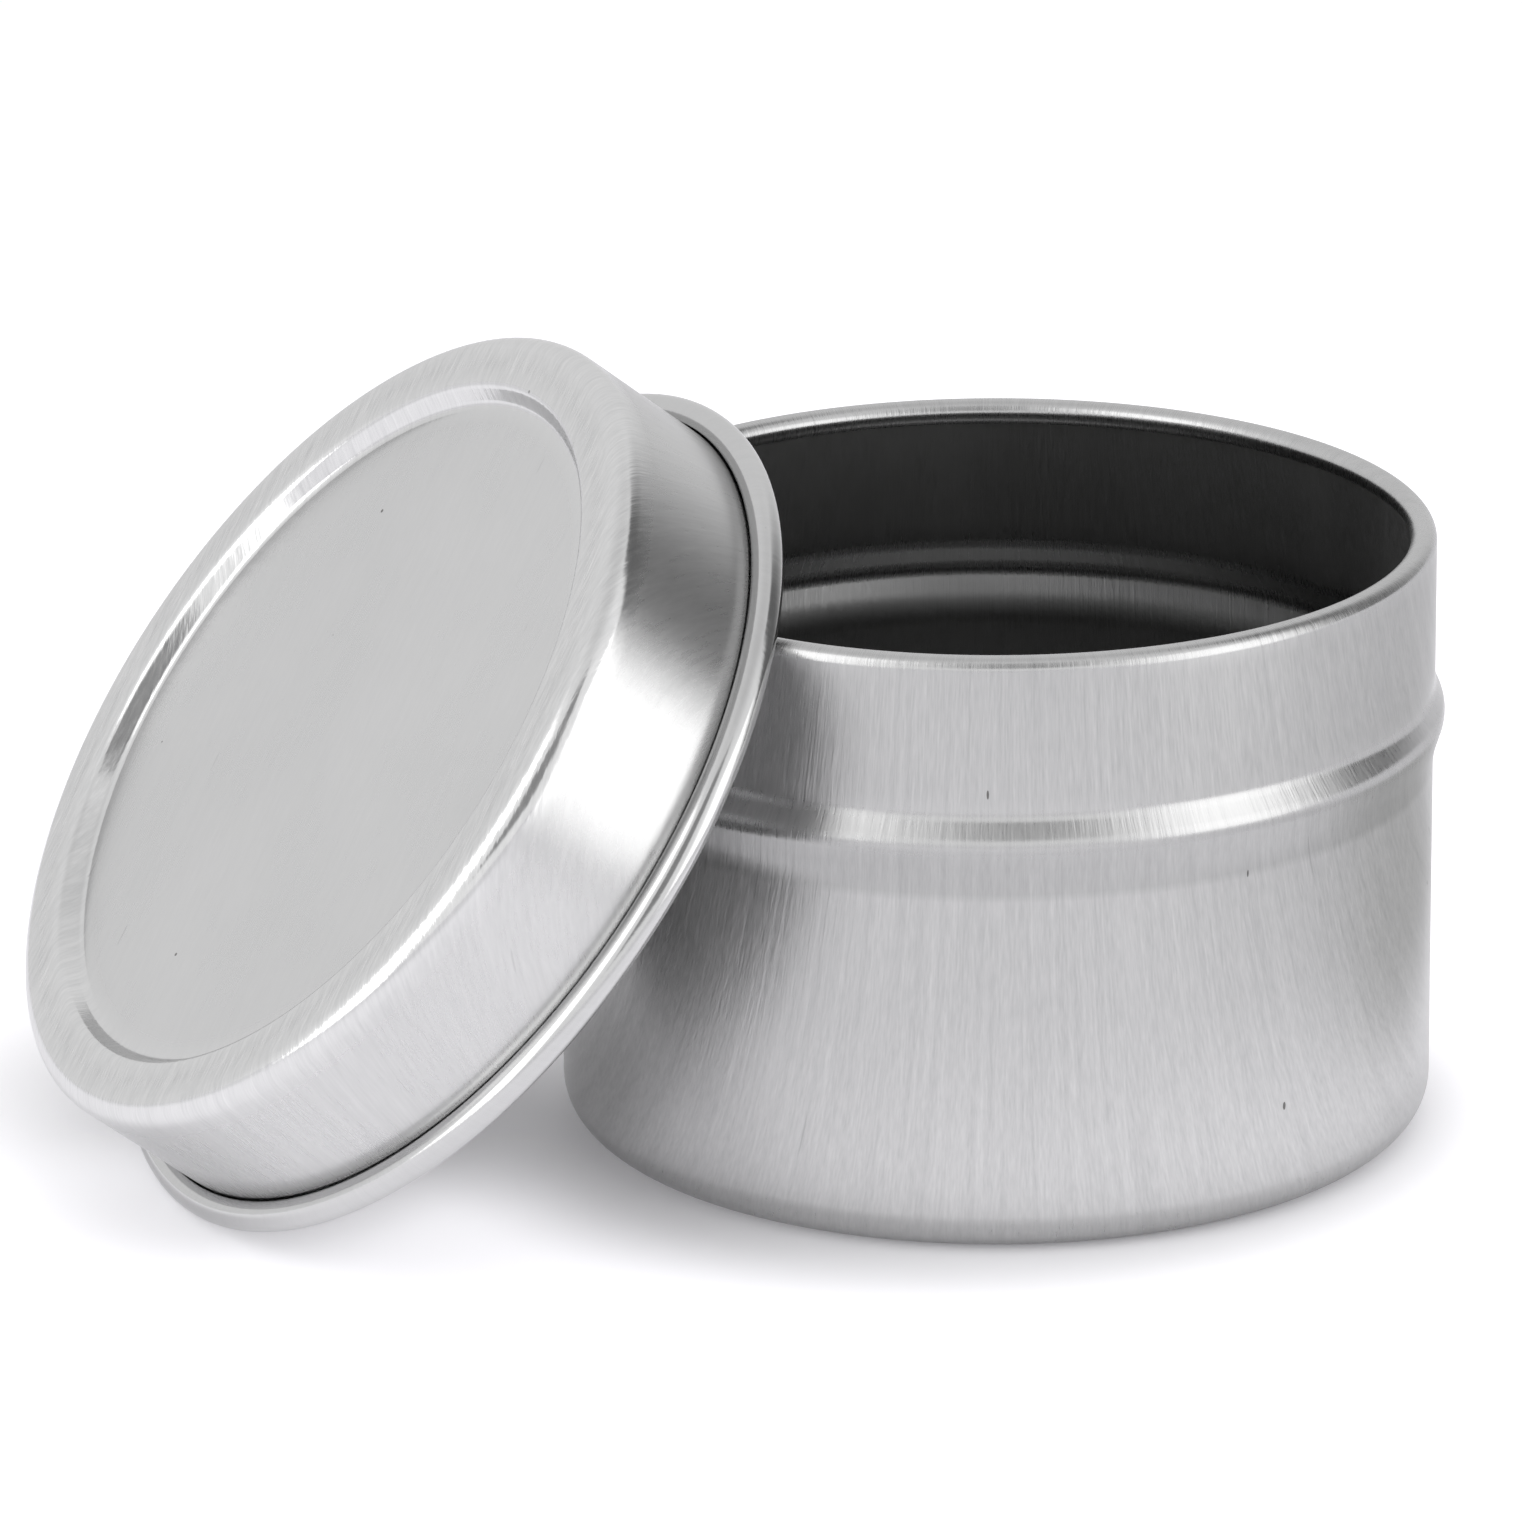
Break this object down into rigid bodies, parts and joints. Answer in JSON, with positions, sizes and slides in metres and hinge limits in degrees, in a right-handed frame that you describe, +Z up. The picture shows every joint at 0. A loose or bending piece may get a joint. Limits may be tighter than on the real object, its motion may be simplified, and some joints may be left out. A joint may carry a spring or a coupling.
{
  "type": "candle tin",
  "caption": "Round slip-lid metal tin, open at the top, with a stop bead round its wall and a rolled rim. Its lid is off and leans on the rim, ready to lift away.",
  "frame": {"origin": "centre of the tin's flat base, where it stands on the ground", "axes": "+Z up along the tin's axis; -X towards the leaning lid, whose axis lies parallel to the XZ plane; +Y completes the right-handed frame"},
  "size_m": [0.1031, 0.0713, 0.0594],
  "materials": {
    "tinplate_body": "satin tinplate with fine upright grain, mid grey",
    "tinplate_lid": "satin tinplate with fine straight grain, light grey, brighter on the curl and shoulder"
  },
  "bodies": {
    "tin": {"tin_body": "tinplate_body"},
    "cover": {"lid": "tinplate_lid"}
  },
  "joints": [
    {"name": "lid_lift", "type": "slide", "parent": "tin", "child": "cover", "axis": [0, 0, 1], "range_m": [0, 0.06]}
  ]
}
